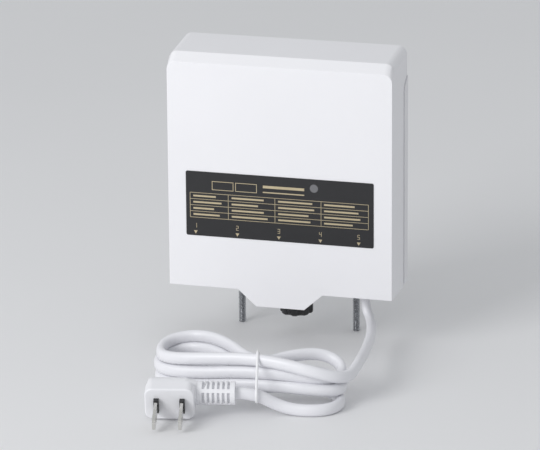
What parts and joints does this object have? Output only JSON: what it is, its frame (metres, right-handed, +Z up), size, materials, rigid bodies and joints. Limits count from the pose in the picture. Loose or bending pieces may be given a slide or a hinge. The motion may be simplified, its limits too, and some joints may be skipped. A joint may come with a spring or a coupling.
{
  "type": "tv signal amplifier",
  "caption": "White outdoor aerial amplifier box: hinged hood with a thumb-knob lock, level controls and coax ports inside, notched mast bracket with U-bolt, tied mains cord and flat-blade plug.",
  "frame": {"origin": "middle of the box and its bracket at the floor that the two legs stand on, measured without the cord and plug", "axes": "+X to the right seen from the front, +Y to the back where the mast goes, +Z up along the legs"},
  "size_m": [0.119, 0.1875, 0.1565],
  "materials": {
    "white_plastic": "smooth satin moulding",
    "label_charcoal": "charcoal label with gold print",
    "clear_plastic": "clear lens",
    "sheet_steel": "tinned sheet",
    "tinned_steel": "bright tin",
    "board_green": "solder mask",
    "iron_core": "varnished laminations",
    "capacitor_sleeve": "shrunk sleeve",
    "lamp_red": "diffused lamp",
    "grey_plastic": "moulded",
    "black_plastic": "moulded",
    "nickel": "nickel plate",
    "white_cord": "soft vinyl",
    "white_tie": "thin tie",
    "zinc_steel": "zinc plate",
    "blade_brass": "plated blade"
  },
  "bodies": {
    "housing": {"rear_housing": "white_plastic", "amplifier_case": "sheet_steel", "case_lid": "sheet_steel", "circuit_board": "board_green", "power_transformer": "iron_core", "filter_capacitor": "capacitor_sleeve", "tuner_shield": "tinned_steel", "power_led": "lamp_red", "vhf_gain_pot": "grey_plastic", "uhf_gain_pot": "grey_plastic", "range_switch": "grey_plastic", "blade_sleeves": "black_plastic", "f_connector_1": "nickel", "f_connector_2": "nickel", "f_connector_3": "nickel", "f_connector_4": "nickel", "cord_gland": "white_cord", "power_cord_lead": "white_cord", "power_cord_hank": "white_cord", "power_cord_tail": "white_cord", "plug_strain_relief": "white_cord", "plug_body": "white_cord", "cord_tie": "white_tie", "u_bolt": "zinc_steel", "u_bolt_nuts": "zinc_steel", "u_bolt_washers": "zinc_steel", "mast_bracket": "zinc_steel", "bracket_screws": "zinc_steel", "case_screws": "zinc_steel", "lid_screws": "zinc_steel", "earth_screw": "zinc_steel", "plug_blades": "blade_brass"},
    "cover": {"front_cover": "white_plastic", "label_plate": "label_charcoal", "led_window": "clear_plastic"},
    "lock_travel_body": {"lock_washer": "zinc_steel"},
    "lock_knob": {"cover_lock_knob": "black_plastic", "lock_screw": "zinc_steel"},
    "vhf_knob": {"vhf_gain_knob": "grey_plastic"},
    "uhf_knob": {"uhf_gain_knob": "grey_plastic"},
    "slider": {"range_slider": "black_plastic"}
  },
  "joints": [
    {"name": "cover_hinge", "type": "hinge", "parent": "housing", "child": "cover", "pos_m": [0, 0.00492, 0.15054], "axis": [-1, 0, 0], "range_deg": [0, 90]},
    {"name": "lock_travel", "type": "slide", "parent": "housing", "child": "lock_travel_body", "axis": [0, 0, -1], "range_m": [0, 0.0032]},
    {"name": "lock_turn", "type": "hinge", "parent": "lock_travel_body", "child": "lock_knob", "pos_m": [0.001, 0.00513, 0.0203], "axis": [0, 0, 1], "range_deg": [0, 1440]},
    {"name": "vhf_gain_turn", "type": "hinge", "parent": "housing", "child": "vhf_knob", "pos_m": [-0.034, -0.01707, 0.1223], "axis": [0, 1, 0], "range_deg": [-135, 135]},
    {"name": "uhf_gain_turn", "type": "hinge", "parent": "housing", "child": "uhf_knob", "pos_m": [-0.012, -0.01707, 0.1223], "axis": [0, 1, 0], "range_deg": [-135, 135]},
    {"name": "range_slide", "type": "slide", "parent": "housing", "child": "slider", "axis": [1, 0, 0], "range_m": [0, 0.003]}
  ],
  "couplings": [
    {"joint": "lock_travel", "follows": "lock_turn", "m_per_rad": 0.00012732}
  ]
}
